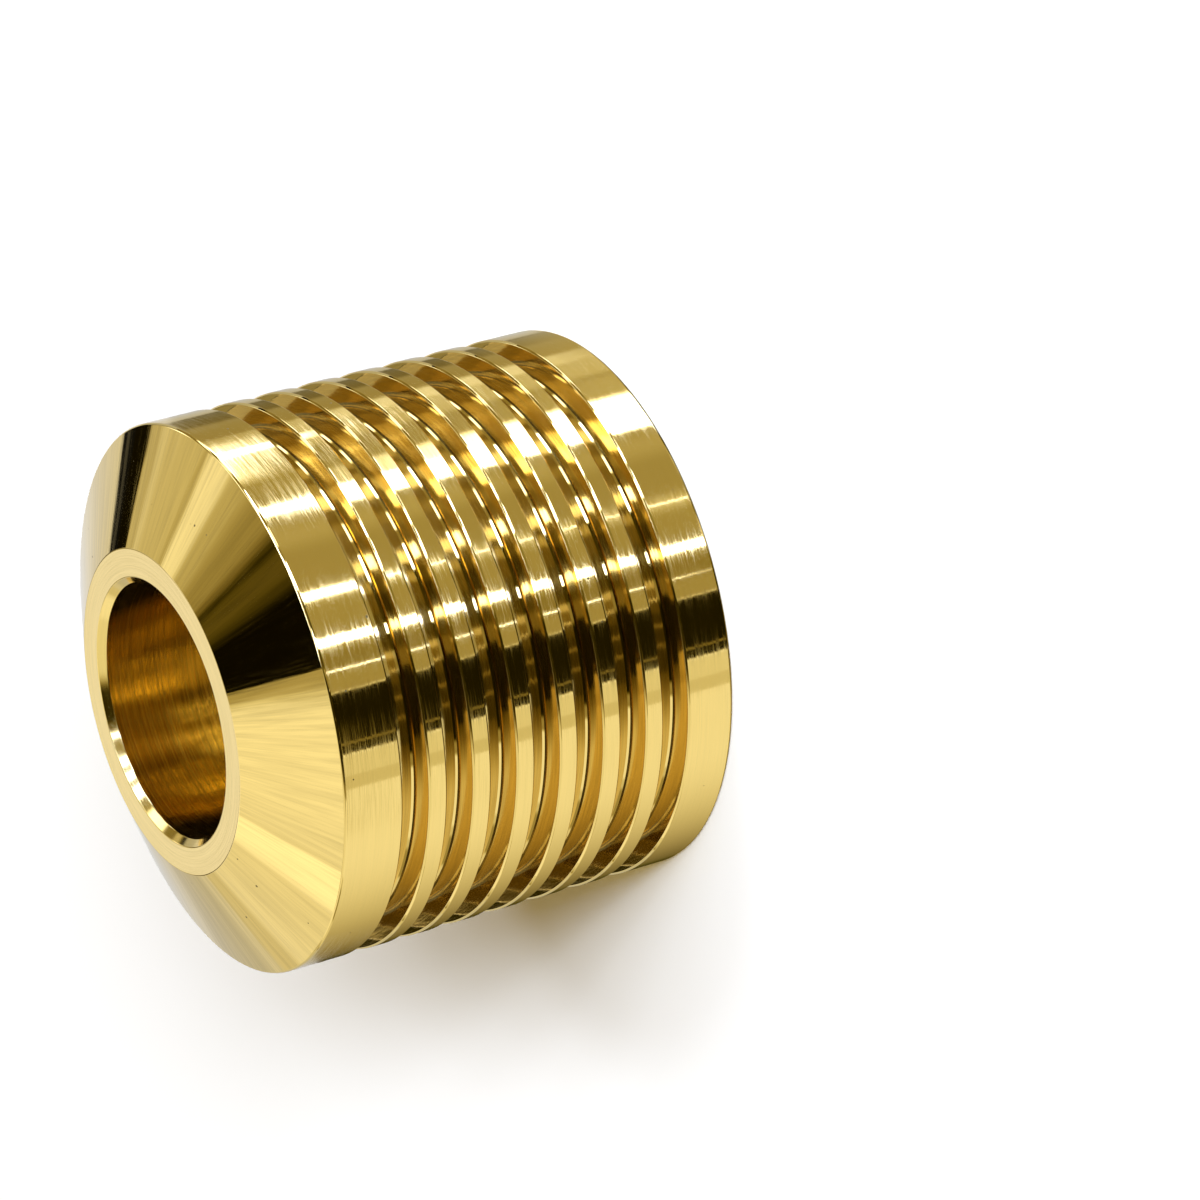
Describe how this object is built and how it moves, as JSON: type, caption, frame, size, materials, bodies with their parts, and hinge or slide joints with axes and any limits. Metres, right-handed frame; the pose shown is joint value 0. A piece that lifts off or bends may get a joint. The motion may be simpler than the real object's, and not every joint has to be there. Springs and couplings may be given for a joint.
{
  "type": "handle weight",
  "caption": "Round turned handle weight: grooved cylindrical body with a coned nose, a large through bore and a deep recess in its open end.",
  "frame": {"origin": "centre of the flat rim round the open end, on the plane the weight stands on", "axes": "+Z along the bore axis, from the open end to the ring face on the coned nose; X and Y are free, since the part is a solid of revolution"},
  "size_m": [0.04, 0.04, 0.035],
  "materials": {
    "brass": "turned and polished bright, with fine circumferential tool marks"
  },
  "bodies": {
    "root": {"handle_weight": "brass"}
  },
  "joints": []
}
